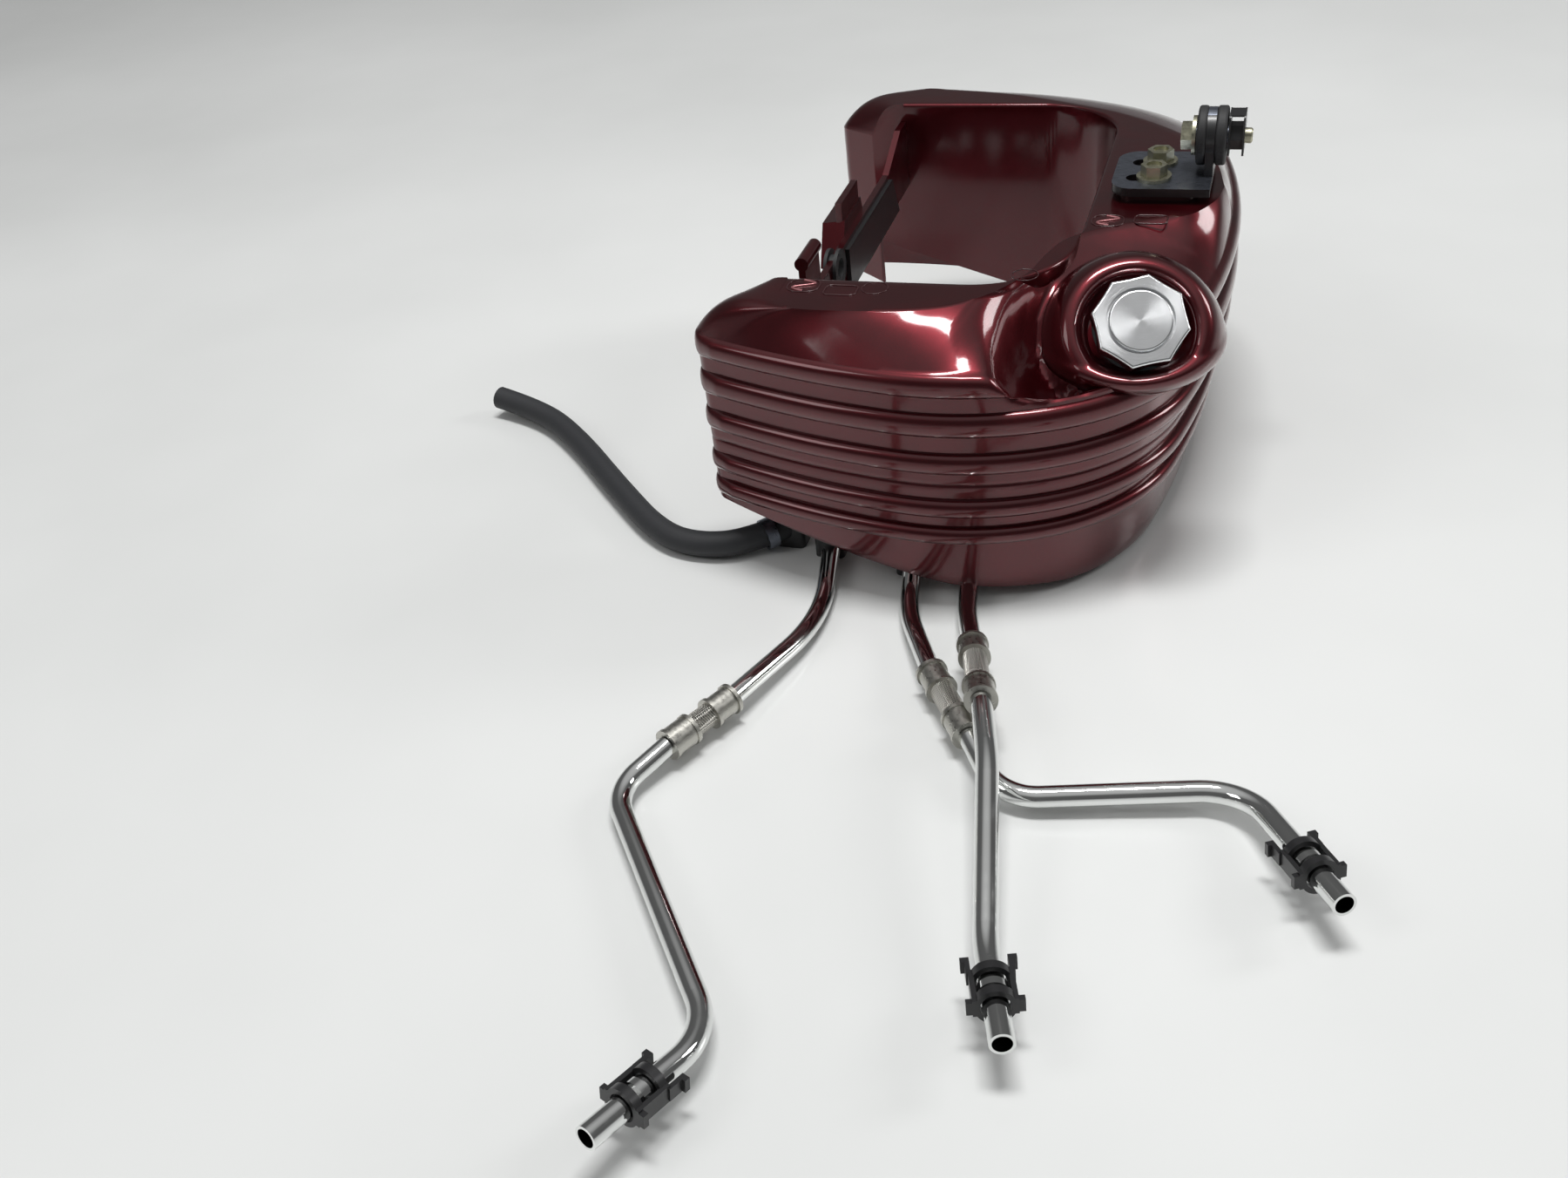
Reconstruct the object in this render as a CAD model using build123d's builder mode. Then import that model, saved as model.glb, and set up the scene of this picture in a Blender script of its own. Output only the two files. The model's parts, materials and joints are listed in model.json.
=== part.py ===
"""Horseshoe oil tank of a dry-sump motorcycle: shells, filler, ear bracket, bridge, oil lines, drain hose.

Millimetres. +X is forward (closed end of the horseshoe), +Z is up and z = 0 is the floor under the
supports. The Y = 0 plane is the symmetry plane of the two shells. The battery sits in the bay.
"""
from build123d import *
from math import acos, cos, radians, sin, tan
import os

os.makedirs("parts", exist_ok=True)

# ---- driving dimensions -------------------------------------------------------------------------
BAY_HALF = 100.0        # half width of the battery bay
BAY_FRONT = -25.0       # closed end of the bay
BAY_CORNER = 39.0       # corner radius of the bay
TOP = 121.0             # flat top flange
SEAM = 56.0             # weld seam between the two shells
SUPPORT = 4.0           # height of the rim above the floor at the closed end
WALL = 2.0              # wall thickness
BEAD = 3.5              # how far the ribs stand proud
BEAD_ROUND = 3.2        # rounding of a rib
RIBS_UP = 105.0         # height where the shoulder starts
RIM = [(-10, SUPPORT), (-62, 8), (-120, 18.2), (-230, 36)]   # lower rim in side view
FLOOR_SLOPE = 17.4      # degrees, tank floor rising toward the open end

# outline of one half: (radius, heading at its end) of each arc, heading 0 is -Y and 90 is -X
WALL_ARCS = [(360, 12.5), (81, 62), (110, 98), (340, 111.5), (7, 240)]
WALL_LEG = -166.5
CREASE_ARCS = [(100, 30), (64, 53), (300, 78), (110, 90), (8, 180)]
CREASE_LEG = -127.0
CREASE_END = 27.5

# flat bands and ribs: bottom, top, x of the closed end, amount proud
UPPER_BANDS = [(56, 61, 28.5, 0), (61, 70, 29.5, BEAD), (70, 78, 30.5, 0), (78, 87, 31.5, BEAD),
               (87, 95, 31.5, 0), (95, RIBS_UP, 31.5, BEAD)]
LOWER_BANDS = [(SUPPORT, 28, 22, 0), (28, 35, 24.5, BEAD), (35, 41, 25.5, 0), (41, 49, 26.5, BEAD),
               (49, 56, 28.5, 0)]

# filler, on its tilted axis
POD_AT = (1.0, -93.0, 97.0)
POD_AXIS = (0.2008, -0.6826, 0.7027)
POD_LEVEL = (0.9593, 0.2822, 0.0)   # level direction across that axis
POD_R = 34.0
NECK_BORE = 15.0
NECK_R = 24.0
POD_FLAT = 11.0         # heights on that axis, from the centre of the pod
NECK_FACE = 14.0
CAP_FACE = 21.0
CAP_R = 18.7            # over the eight points
CAP_WAIST = 17.0        # at the middle of a hollow side

# oil lines: 5/16 in tube with quick-connect spigots
TUBE = 7.94
TUBE_BORE = 6.1
FERRULE = 11.0
FERRULE_RIM = 12.4
BRAID = 9.2
LOCK_BEAD = 9.8        # ring on the spigot that the retainer clips over
CLIP_BORE = 9.2
CLIP_OD = 12.6
HOSE = 11.5


# ---- shells -------------------------------------------------------------------------------------
def half_outline(end, arcs, leg, grow):
    """Arcs (start, middle, end) of the near half of the outline, and the inner tip of its end face."""
    heads = [0.0]
    x = end
    for i, (r, turn) in enumerate(arcs):
        h = radians(turn)
        if i == 3:
            h = acos(cos(heads[-1]) + (leg - x) / r)
        x += r * (cos(h) - cos(heads[-1]))
        heads.append(h)
    rows = []
    x = end + grow
    y = 0.0
    for (r, _), a, b in zip(arcs, heads[:-1], heads[1:]):
        row = [(x, y)]
        for h in ((a + b) / 2, b):
            row.append((x + (r + grow) * (cos(h) - cos(a)), y - (r + grow) * (sin(h) - sin(a))))
        rows.append(row)
        x, y = row[-1]
    run = (10 - BAY_HALF - y) / -cos(heads[-1])
    return rows, (x - sin(heads[-1]) * run, 10 - BAY_HALF)


def horseshoe(z, end, arcs=WALL_ARCS, leg=WALL_LEG, grow=0.0):
    """The closed outline at height z, straight across between the two leg ends."""
    rows, tip = half_outline(end, arcs, leg, grow)
    with BuildSketch(Plane.XY.offset(z)) as sk:
        with BuildLine():
            for side in (1, -1):
                for a, m, b in rows:
                    ThreePointArc((a[0], side * a[1]), (m[0], side * m[1]), (b[0], side * b[1]))
                Line((rows[-1][2][0], side * rows[-1][2][1]), (tip[0], side * tip[1]))
            Line(tip, (tip[0], -tip[1]))
        make_face()
    return sk.sketch


def blended(z, t, inset=0.0):
    """The outline between the wall (t = 0) and the flange crease (t = 1)."""
    arcs = []
    for (r0, h0), (r1, h1) in zip(WALL_ARCS, CREASE_ARCS):
        arcs.append((r0 + (r1 - r0) * t, h0 + (h1 - h0) * t))
    end = 31.5 + (CREASE_END - 31.5) * t
    leg = WALL_LEG + (CREASE_LEG - WALL_LEG) * t + 3 * inset * (1 - t)
    return horseshoe(z, end, arcs, leg, -inset)


def bay_sketch(z, grow=0.0):
    """The battery bay, open toward -X."""
    with BuildSketch(Plane.XY.offset(z)) as sk:
        with Locations((BAY_FRONT + grow - 125, 0)):
            Rectangle(250, 2 * (BAY_HALF + grow))
        fillet(sk.vertices().group_by(Axis.X)[-1], BAY_CORNER)
    return sk.sketch


def side_wedge(points):
    """A wedge given in the XZ plane and cut right across the tank."""
    with BuildPart() as w:
        with BuildSketch(Plane.XZ):
            with BuildLine():
                Polyline(*points, close=True)
            make_face()
        extrude(amount=200, both=True)
    return w.part


def band_solid(z0, z1, end, proud):
    """One band of the wall; a rib has its upper and lower edges rounded."""
    with BuildPart() as band:
        extrude(horseshoe(z0, end, grow=proud), amount=z1 - z0)
        if proud:
            rims = band.edges().filter_by(lambda e: abs((e @ 0).Z - (e @ 1).Z) < 0.01)
            across = rims.filter_by(Axis.Y).sort_by(SortBy.LENGTH)[-2:]
            fillet([e for e in rims if e not in across], BEAD_ROUND)
    return band.part


def floor_z(x):
    """Height of the underside of the tank floor."""
    return 30 + (-95 - x) * tan(radians(FLOOR_SLOPE))


def floor_wedge(lift, low):
    """Everything under the floor, raised by lift, down to low."""
    flat_x = -95 - (low - lift - 30) / tan(radians(FLOOR_SLOPE))
    return side_wedge([(flat_x, low), (-220, floor_z(-220) + lift), (-220, -20), (flat_x, -20)])


pod_plane = Plane(POD_AT, x_dir=POD_LEVEL, z_dir=POD_AXIS)
BLOCK = (Align.CENTER, Align.CENTER, Align.MIN)
bolt_spots = [(-1, -8), (0, 9)]
line_feet = [(-122, -116), (-84, -124), (-59, -126)]
drain_foot = (-141, -111)
vent_foot = (-72, 124)
plug_at = (0, 22)
STEM = 10.0             # diameter of the fittings where they pass through the floor


def save(part, name):
    """Writes one node."""
    part.label = name
    export_step(part, "parts/" + name + ".step")
    print(name, round(part.volume), len(part.solids()))


with BuildPart() as upper_hollow:
    extrude(horseshoe(SEAM - 1, 28, grow=-WALL), amount=15)
    extrude(horseshoe(SEAM + 14, 30.5, grow=-WALL), amount=RIBS_UP - SEAM - 14)
    loft([blended(RIBS_UP - 7, 0, WALL + 1), blended(TOP - WALL, 1, WALL + 1)], ruled=True)
    with Locations(POD_AT):
        Sphere(POD_R - WALL)
    with Locations(pod_plane.offset(POD_FLAT - WALL)):
        Cylinder(60, 60, align=BLOCK, mode=Mode.SUBTRACT)
    extrude(bay_sketch(SEAM - 10, WALL), amount=100, mode=Mode.SUBTRACT)

with BuildPart() as tank_upper_shell:
    for z0, z1, end, proud in UPPER_BANDS:
        add(band_solid(z0, z1, end, proud))
    loft([blended(RIBS_UP - 4, 0), blended(109, 0.08), blended(113, 0.24), blended(116.5, 0.46),
          blended(119, 0.7), blended(TOP, 1)], ruled=True)
    with Locations(POD_AT):
        Sphere(POD_R)
    # flat face of the pod, the bay, the cavity, the filler opening and the bracket bolt holes
    with Locations(pod_plane.offset(POD_FLAT)):
        Cylinder(60, 60, align=BLOCK, mode=Mode.SUBTRACT)
    extrude(bay_sketch(SEAM - 10), amount=100, mode=Mode.SUBTRACT)
    add(upper_hollow.part, mode=Mode.SUBTRACT)
    with Locations(pod_plane):
        Cylinder(NECK_BORE + 2.5, 40, align=BLOCK, mode=Mode.SUBTRACT)
    with Locations(*[(x, y, TOP - 8) for x, y in bolt_spots]):
        Cylinder(3.3, 20, align=BLOCK, mode=Mode.SUBTRACT)
save(tank_upper_shell.part, "tank_upper_shell")

with BuildPart() as lower_hollow:
    extrude(horseshoe(SUPPORT + WALL, 22, grow=-WALL), amount=SEAM)
    extrude(bay_sketch(-10, WALL), amount=100, mode=Mode.SUBTRACT)
    add(floor_wedge(WALL / cos(radians(FLOOR_SLOPE)), SUPPORT + WALL), mode=Mode.SUBTRACT)

with BuildPart() as pocket:
    extrude(horseshoe(-10, 22, grow=-WALL), amount=90)
    add(floor_wedge(0, SUPPORT), mode=Mode.INTERSECT)

with BuildPart() as tank_lower_shell:
    for z0, z1, end, proud in LOWER_BANDS:
        add(band_solid(z0, z1, end, proud))
    extrude(bay_sketch(-10), amount=100, mode=Mode.SUBTRACT)
    add(lower_hollow.part, mode=Mode.SUBTRACT)
    add(pocket.part, mode=Mode.SUBTRACT)
    add(side_wedge(RIM + [(-230, -20), (-10, -20)]), mode=Mode.SUBTRACT)
    with Locations(Location((-56, -142, 5.5), (90, 0, 0))):
        Cylinder(6.8, 16, mode=Mode.SUBTRACT)
    with Locations(*[(x, y, -5) for x, y in line_feet + [drain_foot, vent_foot]]):
        Cylinder(STEM / 2, 60, align=BLOCK, mode=Mode.SUBTRACT)
    with Locations(plug_at):
        Cylinder(6, 20, mode=Mode.SUBTRACT)
save(tank_lower_shell.part, "tank_lower_shell")

# ---- sump pad and drain plug under the closed end -----------------------------------------------
with BuildPart() as sump_pad:
    with BuildSketch():
        RectangleRounded(26, 70, 6)
        with Locations(plug_at):
            Circle(6, mode=Mode.SUBTRACT)
    extrude(amount=SUPPORT)
save(sump_pad.part, "sump_pad")

with BuildPart() as drain_plug:
    with Locations((plug_at[0], plug_at[1], 1.0)):
        Cylinder(6, SUPPORT + WALL + 4, align=BLOCK)
    with BuildSketch(Plane.XY.offset(1.0)):
        with Locations(plug_at):
            RegularPolygon(2.9, 6)
    extrude(amount=4, mode=Mode.SUBTRACT)
    fillet(drain_plug.edges().filter_by(GeomType.CIRCLE).sort_by(Axis.Z)[-1], 1)
save(drain_plug.part, "drain_plug")

# ---- filler: neck, cap, seal, dipstick ----------------------------------------------------------
with BuildPart() as filler_neck:
    with Locations(pod_plane.offset(-8)):
        Cylinder(NECK_BORE + 2.4, POD_FLAT + 8, align=BLOCK)
    with Locations(pod_plane.offset(POD_FLAT)):
        Cylinder(NECK_R, NECK_FACE - POD_FLAT, align=BLOCK)
    rim = filler_neck.edges().filter_by(GeomType.CIRCLE).sort_by(SortBy.RADIUS)[-2:]
    fillet(rim, 1.4)
    with Locations(pod_plane.offset(-8)):
        Cylinder(NECK_BORE, 60, align=BLOCK, mode=Mode.SUBTRACT)
save(filler_neck.part, "filler_neck")

with BuildPart() as filler_cap:
    with BuildSketch(pod_plane.offset(NECK_FACE + 1.2)):
        with BuildLine():
            for i in range(8):
                a0, a1, a2 = [radians(45 * i + 30 + turn) for turn in (0, 22.5, 45)]
                ThreePointArc((CAP_R * cos(a0), CAP_R * sin(a0)),
                              (CAP_WAIST * cos(a1), CAP_WAIST * sin(a1)),
                              (CAP_R * cos(a2), CAP_R * sin(a2)))
        make_face()
    extrude(amount=CAP_FACE - NECK_FACE - 1.2)
    fillet(filler_cap.faces().sort_by(Axis((0, 0, 0), POD_AXIS))[-1].edges(), 1.0)
    with Locations(pod_plane.offset(NECK_FACE - 1)):
        Cylinder(11.7, 3, align=BLOCK)
    with Locations(pod_plane.offset(3)):
        Cylinder(NECK_BORE - 0.35, NECK_FACE - 3.2, align=BLOCK)
    with Locations(pod_plane.offset(CAP_FACE - 1.5)):
        Cylinder(13.0, 5, align=BLOCK, mode=Mode.SUBTRACT)
    with Locations(pod_plane.offset(3)):
        Cylinder(10.5, 8, align=BLOCK, mode=Mode.SUBTRACT)
        Cylinder(1.6, 12, align=BLOCK, mode=Mode.SUBTRACT)
save(filler_cap.part, "filler_cap")

with BuildPart() as cap_disc:
    with Locations(pod_plane.offset(CAP_FACE - 1.5)):
        Cylinder(12.0, 2.0, align=BLOCK)
    fillet(cap_disc.faces().sort_by(Axis((0, 0, 0), POD_AXIS))[-1].edges(), 0.8)
save(cap_disc.part, "cap_disc")

with BuildPart() as cap_seal:
    with BuildSketch(pod_plane.offset(NECK_FACE + 0.1)):
        Circle(17.5)
        Circle(12.0, mode=Mode.SUBTRACT)
    extrude(amount=0.9)
save(cap_seal.part, "cap_seal")

with BuildPart() as dipstick:
    with Locations(pod_plane.offset(-42)):
        Cylinder(1.6, 57, align=BLOCK)
save(dipstick.part, "dipstick")

# ---- ear bracket on the flange ------------------------------------------------------------------
PLATE = 3.5
PAD_TOP = TOP + 3
EAR_X = 19.0
EAR_AT = (5, TOP + 20)
ear_plane = Plane((EAR_X, 0, 0), x_dir=(0, 1, 0), z_dir=(1, 0, 0))


def on_ear(x):
    """Plane across the ear bolt at height x along it."""
    return Plane((x, EAR_AT[0], EAR_AT[1]), x_dir=(0, 1, 0), z_dir=(1, 0, 0))


with BuildPart() as bracket_pad:
    with BuildSketch(Plane.XY.offset(TOP)):
        with Locations((1, 1)):
            RectangleRounded(30, 36, 5)
        with Locations(*bolt_spots):
            Circle(3.3, mode=Mode.SUBTRACT)
    extrude(amount=PAD_TOP - TOP)
    chamfer(bracket_pad.faces().sort_by(Axis.Z)[-1].outer_wire().edges(), 1.2)
save(bracket_pad.part, "bracket_pad")

with BuildPart() as mount_bracket:
    with BuildSketch(Plane.XY.offset(PAD_TOP)):
        with Locations(((EAR_X + PLATE - 18) / 2, 1)):
            Rectangle(EAR_X + PLATE + 18, 42)
        for x, y in bolt_spots:
            with Locations((x - 4, y)):
                SlotOverall(15, 7, mode=Mode.SUBTRACT)
    extrude(amount=PLATE)
    fillet(mount_bracket.edges().filter_by(Axis.Z).group_by(Axis.X)[0], 9)
    with BuildSketch(ear_plane):
        with Locations((1, PAD_TOP + 8)):
            Rectangle(14, 16)
        with Locations(EAR_AT):
            Circle(11.5)
    extrude(amount=PLATE)
    with BuildSketch(ear_plane):
        with Locations(EAR_AT):
            Circle(7)
    extrude(amount=PLATE, mode=Mode.SUBTRACT)
save(mount_bracket.part, "mount_bracket")

with BuildPart() as bracket_bolts:
    with Locations(*[(x, y, PAD_TOP + PLATE) for x, y in bolt_spots]):
        Cylinder(7.2, 1.4, align=BLOCK)
    with BuildSketch(Plane.XY.offset(PAD_TOP + PLATE + 1.4)):
        with Locations(*bolt_spots):
            RegularPolygon(4.76, 6, major_radius=False)
    extrude(amount=4.6)
    with Locations(*[(x, y, PAD_TOP + PLATE - 16) for x, y in bolt_spots]):
        Cylinder(3.1, 16, align=BLOCK)
    with Locations(*[(x, y, PAD_TOP + PLATE + 4.6) for x, y in bolt_spots]):
        Cylinder(3.2, 3, align=BLOCK, mode=Mode.SUBTRACT)
save(bracket_bolts.part, "bracket_bolts")

with BuildPart() as thread_inserts:
    with Locations(*[(x, y, TOP - 14) for x, y in bolt_spots]):
        Cylinder(6, 14 - WALL, align=BLOCK)
    with Locations(*[(x, y, TOP - 10) for x, y in bolt_spots]):
        Cylinder(3.15, 20, align=BLOCK, mode=Mode.SUBTRACT)
save(thread_inserts.part, "thread_inserts")

with BuildPart() as ear_grommet:
    for x, r, length in ((EAR_X - 4, 12, 4), (EAR_X, 7, PLATE), (EAR_X + PLATE, 12, 4.5)):
        with Locations(on_ear(x)):
            Cylinder(r, length, align=BLOCK)
    fillet(ear_grommet.edges().filter_by(GeomType.CIRCLE).filter_by(lambda e: e.radius > 11), 1.2)
    with Locations(on_ear(EAR_X - 5)):
        Cylinder(4.3, 20, align=BLOCK, mode=Mode.SUBTRACT)
save(ear_grommet.part, "ear_grommet")

with BuildPart() as ear_sleeve:
    with BuildSketch(on_ear(EAR_X - 4.5)):
        Circle(4.3)
        Circle(3.15, mode=Mode.SUBTRACT)
    extrude(amount=13)
save(ear_sleeve.part, "ear_sleeve")

with BuildPart() as ear_washer:
    with BuildSketch(on_ear(EAR_X - 6)):
        Circle(8)
        Circle(3.15, mode=Mode.SUBTRACT)
    extrude(amount=1.5)
save(ear_washer.part, "ear_washer")

with BuildPart() as ear_bolt:
    with BuildSketch(on_ear(EAR_X - 10.5)):
        RegularPolygon(5.0, 6, major_radius=False)
    extrude(amount=4.5)
    with Locations(on_ear(EAR_X - 6)):
        Cylinder(3.15, 24, align=BLOCK)
    chamfer(ear_bolt.faces().sort_by(Axis.X)[-1].edges(), 0.6)
save(ear_bolt.part, "ear_bolt")

with BuildPart() as ear_clip:
    for x in (EAR_X + 8.5, EAR_X + 14.2):
        with BuildSketch(on_ear(x)):
            with Locations((0, 1.5)):
                RectangleRounded(13, 17, 2)
            Circle(3.15, mode=Mode.SUBTRACT)
        extrude(amount=0.8)
    with Locations((EAR_X + 11.75, EAR_AT[0], EAR_AT[1] + 9.6)):
        Box(6.5, 9, 0.8)
save(ear_clip.part, "ear_clip")

with BuildPart() as ear_nut:
    with BuildSketch(on_ear(EAR_X + 9.3)):
        RegularPolygon(5.0, 6, major_radius=False)
        Circle(3.15, mode=Mode.SUBTRACT)
    extrude(amount=4.9)
save(ear_nut.part, "ear_nut")

# ---- bridge across the open end -----------------------------------------------------------------
BRIDGE_X = -137.0
bridge_plane = Plane((BRIDGE_X, 0, 0), x_dir=(0, 1, 0), z_dir=(1, 0, 0))
GROMMET_AT = (-35, 95)

with BuildPart() as rear_bridge:
    with BuildSketch(bridge_plane):
        with BuildLine():
            Polyline((-BAY_HALF, 104), (-BAY_HALF, 79), (BAY_HALF, 79), (BAY_HALF, 112), (88, 112),
                     (60, 100), (-60, 100), (-60, 104), close=True)
        make_face()
        with Locations(GROMMET_AT):
            Circle(6, mode=Mode.SUBTRACT)
    extrude(amount=3)
save(rear_bridge.part, "rear_bridge")

with BuildPart() as bridge_tab:
    with BuildSketch(bridge_plane):
        with Locations((-70, 110)):
            Rectangle(20, 12)
    extrude(amount=3)
    with Locations(Location((BRIDGE_X + 1.5, -70, 117), (90, 0, 0))):
        Cylinder(3, 20)
save(bridge_tab.part, "bridge_tab")

with BuildPart() as bridge_hook:
    with BuildSketch(Plane((BRIDGE_X, 0, 0), x_dir=(0, -1, 0), z_dir=(-1, 0, 0))):
        with BuildLine():
            Polyline((20, 84), (-26, 84), (-19, 106), (9, 106), close=True)
        make_face()
    extrude(amount=11, taper=10)
    with BuildSketch(bridge_plane.offset(-4)):
        with Locations((5, 109.5)):
            Rectangle(28, 9)
    extrude(amount=3)
save(bridge_hook.part, "bridge_hook")

with BuildPart() as bridge_strap:
    with BuildSketch(bridge_plane.offset(3)):
        with BuildLine():
            Polyline((-22, 78), (70, 78), (60, 98), (-22, 98), close=True)
        make_face()
    extrude(amount=2)
save(bridge_strap.part, "bridge_strap")

with BuildPart() as bridge_grommet:
    with BuildSketch(bridge_plane.offset(-1.5)):
        with Locations(GROMMET_AT):
            Circle(8.5)
            Circle(4.5, mode=Mode.SUBTRACT)
    extrude(amount=1.5)
    with BuildSketch(bridge_plane):
        with Locations(GROMMET_AT):
            Circle(6)
            Circle(4.5, mode=Mode.SUBTRACT)
    extrude(amount=3)
    with BuildSketch(bridge_plane.offset(3)):
        with Locations(GROMMET_AT):
            Circle(8.5)
            Circle(4.5, mode=Mode.SUBTRACT)
    extrude(amount=1.5)
save(bridge_grommet.part, "bridge_grommet")

# ---- inside the tank ----------------------------------------------------------------------------
with BuildPart() as surge_baffle:
    with BuildSketch(Plane((0, 60, 0), x_dir=(1, 0, 0), z_dir=(0, 1, 0))):
        with Locations((-4.5, -52)):
            Rectangle(37, 92)
        with Locations((-4.5, -20), (-4.5, -52), (-4.5, -84)):
            Circle(8, mode=Mode.SUBTRACT)
    extrude(amount=1.5)
    add(floor_wedge(WALL / cos(radians(FLOOR_SLOPE)), SUPPORT + WALL), mode=Mode.SUBTRACT)
save(surge_baffle.part, "surge_baffle")


def stem_top(foot):
    """Top of a fitting's stem, just above the tank floor."""
    return floor_z(foot[0]) + 7


def fitting(foot, height=14.0, side=13.0):
    """A moulded block on the floor with a stem up through the tank floor."""
    with BuildPart() as f:
        with BuildSketch():
            with Locations(foot):
                RectangleRounded(side, side, 2.5)
        extrude(amount=height)
        with Locations((foot[0], foot[1], height)):
            Cylinder(STEM / 2, stem_top(foot) - height, align=BLOCK)
    return f.part


def tube(points, radii, outer, bore):
    """A tube through hand-chosen points, with a bend radius at each inner point."""
    with BuildPart() as t:
        with BuildLine() as path:
            if radii:
                FilletPolyline(*points, radius=radii)
            else:
                Line(*points)
        with BuildSketch(Plane(path.line @ 0, z_dir=path.line % 0)):
            Circle(outer / 2)
            if bore:
                Circle(bore / 2, mode=Mode.SUBTRACT)
        sweep()
    return t.part


def spin(at, along, rings, bore):
    """Coaxial rings (start, end, diameter) on an axis, with one bore."""
    base = Plane(at, z_dir=along)
    with BuildPart() as r:
        for start, end, size in rings:
            with Locations(base.offset(start)):
                Cylinder(size / 2, end - start, align=BLOCK)
        if bore:
            with Locations(base.offset(min(row[0] for row in rings) - 1)):
                Cylinder(bore / 2, 200, align=BLOCK, mode=Mode.SUBTRACT)
    return r.part


def clip_solid(at, along):
    """Quick-connect retainer: two rings, two side rails and two short arms that reach backward."""
    level = Vector(-along.Y, along.X, 0).normalized()
    base = Plane(at, x_dir=level, z_dir=along)
    with BuildPart() as c:
        for start in (-6.5, 3.5):
            with Locations(base.offset(start)):
                Cylinder(CLIP_OD / 2, 3, align=BLOCK)
        # rails, arms, knobs at the ends of the arms, and ears on the front ring
        for start, length, across, wide, tall in ((-6.5, 13, 6.0, 1.6, 6), (-11, 5.5, 6.6, 1.6, 4.6),
                                                  (-12.5, 2, 7.2, 2.8, 4.6), (4.5, 2, 7.0, 3.4, 4.6)):
            with BuildSketch(base.offset(start)):
                with Locations((across, 0), (-across, 0)):
                    Rectangle(wide, tall)
            extrude(amount=length)
        with Locations(base.offset(-20)):
            Cylinder(CLIP_BORE / 2, 40, align=BLOCK, mode=Mode.SUBTRACT)
    return c.part


FERRULE_LONG = 12.0
PIVOT_IN = 4.0          # swivel centre inside the lower ferrule

# name, upper run, its bends, lower run (starts at the end of the coupling), its bends
lines = [
    ("line_1", [(-122, -116, 5), (-111, -172, 5), (-130, -229, 9)], [90],
     [(-145, -259, 9), (-157, -283, 6), (-87, -376, 9), (-106, -423, 18)], [19, 26]),
    ("line_2", [(-84, -124, 5), (-77, -163, 5), (-59, -201, 9)], [90],
     [(-38, -234, 9), (-21.5, -260, 6), (58, -242.5, 8), (89, -297, 18)], [19, 22]),
    ("line_3", [(-59, -126, 5), (-54, -158, 5.5), (-46, -186, 12)], [70],
     [(-34, -229, 22), (-26, -259, 22.5), (-13, -331, 13.5), (-1, -368, 18)], [90, 50]),
]

for (name, upper, upper_bend, lower, lower_bend), foot in zip(lines, line_feet):
    begin = Vector(*upper[-1])
    finish = Vector(*lower[0])
    along = (finish - begin).normalized()
    gap = (finish - begin).length
    pivot = finish - along * (FERRULE_LONG - PIVOT_IN)
    elbow = fitting(foot) - tube(upper, upper_bend, TUBE, 0)
    save(elbow, name + "_fitting")
    save(tube(upper, upper_bend, TUBE, TUBE_BORE), name + "_upper_tube")
    crimped = spin(begin, along, [(0, 1.6, FERRULE_RIM), (1.6, FERRULE_LONG - 1.6, FERRULE),
                                  (FERRULE_LONG - 1.6, FERRULE_LONG, FERRULE_RIM)], TUBE_BORE)
    save(crimped - tube(upper, upper_bend, TUBE, 0), name + "_upper_ferrule")
    braid = spin(begin, along, [(FERRULE_LONG, gap - FERRULE_LONG + PIVOT_IN, BRAID)], 0)
    with BuildPart() as flex:
        add(braid)
        with Locations(pivot):
            Sphere(BRAID / 2)
    save(flex.part, name + "_braid")
    with BuildPart() as socket:
        add(spin(finish, along * -1, [(0, 1.6, FERRULE_RIM), (1.6, FERRULE_LONG - 1.6, FERRULE + 0.6),
                                      (FERRULE_LONG - 1.6, FERRULE_LONG, FERRULE_RIM)], 0))
        with Locations(pivot):
            Sphere(BRAID / 2 + 0.3, mode=Mode.SUBTRACT)
        with Locations(Plane(pivot, z_dir=along * -1)):
            Cone(BRAID / 2 + 0.3, 5.7, PIVOT_IN, align=BLOCK, mode=Mode.SUBTRACT)
        with Locations(Plane(pivot, z_dir=along)):
            Cylinder(TUBE_BORE / 2, 20, align=BLOCK, mode=Mode.SUBTRACT)
    save(socket.part - tube(lower, lower_bend, TUBE, 0), name + "_lower_ferrule")
    tip = Vector(*lower[-1])
    out = (tip - Vector(*lower[-2])).normalized()
    with BuildPart() as tail:
        add(tube(lower, lower_bend, TUBE, TUBE_BORE))
        add(spin(tip, out * -1, [(19.2, 21.8, LOCK_BEAD)], TUBE_BORE))
    save(tail.part, name + "_lower_tube")
    save(clip_solid(tip - out * 20.5, out), name + "_clip")

# standpipes and strainer on the fittings inside the tank
pipes = [("feed_strainer", line_feet[2], 32, 9.0), ("return_standpipe", line_feet[0], 60, 8.0),
         ("vent_standpipe", vent_foot, 62, 8.0)]
for name, foot, tall, size in pipes:
    with BuildPart() as pipe:
        with BuildSketch(Plane.XY.offset(stem_top(foot))):
            with Locations(foot):
                Circle(size / 2)
                Circle(3, mode=Mode.SUBTRACT)
        extrude(amount=tall)
    save(pipe.part, name)

save(fitting(vent_foot), "vent_fitting")

# ---- drain spigot, clamp and hose ---------------------------------------------------------------
hose_points = [(-141, -111, 9), (-157.3, -125.7, 7), (-179, -130.3, 6), (-200, -123.5, 6),
               (-231.5, -93, 6), (-274, -48.5, 6), (-303, -27, 6.5), (-329, -20.5, 9)]


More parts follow.
